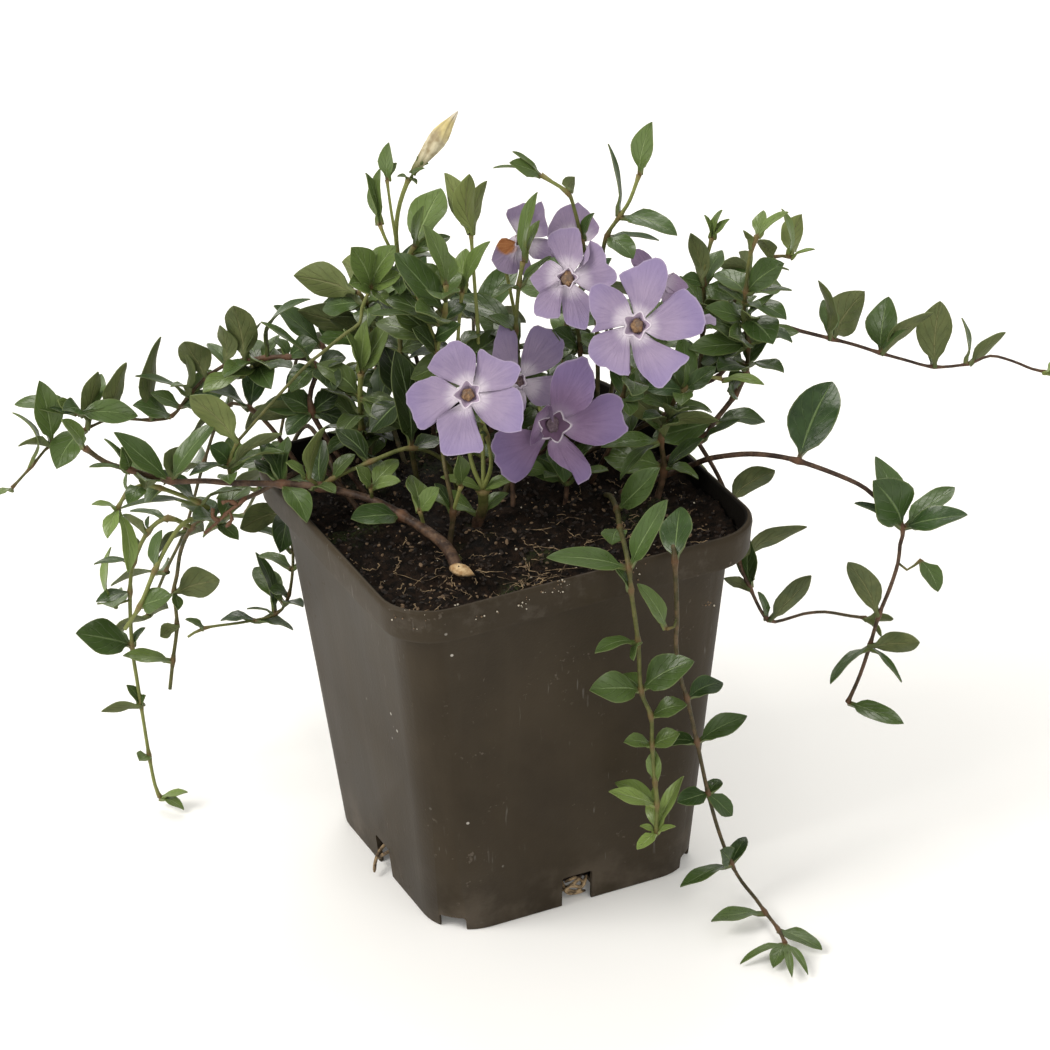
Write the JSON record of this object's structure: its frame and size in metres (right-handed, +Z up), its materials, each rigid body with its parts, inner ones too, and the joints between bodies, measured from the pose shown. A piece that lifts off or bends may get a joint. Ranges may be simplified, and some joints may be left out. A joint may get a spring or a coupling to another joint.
{
  "type": "potted periwinkle",
  "caption": "Lavender periwinkle in a square black nursery pot, with leafy upright shoots and runners that arch and trail over the rim.",
  "frame": {"origin": "middle of the pot's base, on the surface the pot stands on", "axes": "+Z up, +X to the right, -Y the pot's front face"},
  "size_m": [0.2329, 0.1862, 0.1788],
  "materials": {
    "pot_plastic": "matt black recycled plastic",
    "soil": "damp peat with roots and bark",
    "leaf_green": "glossy leathery leaves on olive-brown stems",
    "petal": "satin lavender petals with a white throat",
    "flower_eye": "velvety tan eye",
    "bud_cream": "furled cream bud"
  },
  "bodies": {
    "root": {"left_high_runner": "leaf_green", "left_middle_runner": "leaf_green", "left_low_sprays": "leaf_green", "left_back_runner": "leaf_green", "crown_left_short": "leaf_green", "crown_left_back": "leaf_green", "crown_left_tall": "leaf_green", "crown_middle_left": "leaf_green", "crown_fork": "leaf_green", "crown_middle_right": "leaf_green", "crown_top_bud": "leaf_green", "crown_top_leaves": "leaf_green", "crown_right_tall": "leaf_green", "crown_right_clump": "leaf_green", "crown_right_front": "leaf_green", "crown_right_back": "leaf_green", "right_high_runner": "leaf_green", "right_arching_runner": "leaf_green", "right_back_runner": "leaf_green", "front_left_trail": "leaf_green", "front_right_trail": "leaf_green", "bloom_right_stem": "leaf_green", "bloom_upper_stem": "leaf_green", "bloom_lower_stem": "leaf_green", "bloom_inner_stem": "leaf_green", "bloom_top_stem": "leaf_green", "bloom_hidden_stem": "leaf_green", "back_runner_1": "leaf_green", "back_runner_2": "leaf_green", "back_runner_3": "leaf_green", "back_runner_4": "leaf_green", "back_runner_5": "leaf_green", "bloom_front_petals": "petal", "bloom_front_eye": "flower_eye", "bloom_right_petals": "petal", "bloom_right_eye": "flower_eye", "bloom_upper_petals": "petal", "bloom_upper_eye": "flower_eye", "bloom_lower_petals": "petal", "bloom_lower_eye": "flower_eye", "bloom_inner_petals": "petal", "bloom_inner_eye": "flower_eye", "bloom_side_petals": "petal", "bloom_side_eye": "flower_eye", "bloom_top_petals": "petal", "bloom_top_eye": "flower_eye", "bloom_hidden_petals": "petal", "bloom_hidden_eye": "flower_eye", "furled_bud": "bud_cream", "root_ball": "soil", "pot": "pot_plastic"}
  },
  "joints": []
}
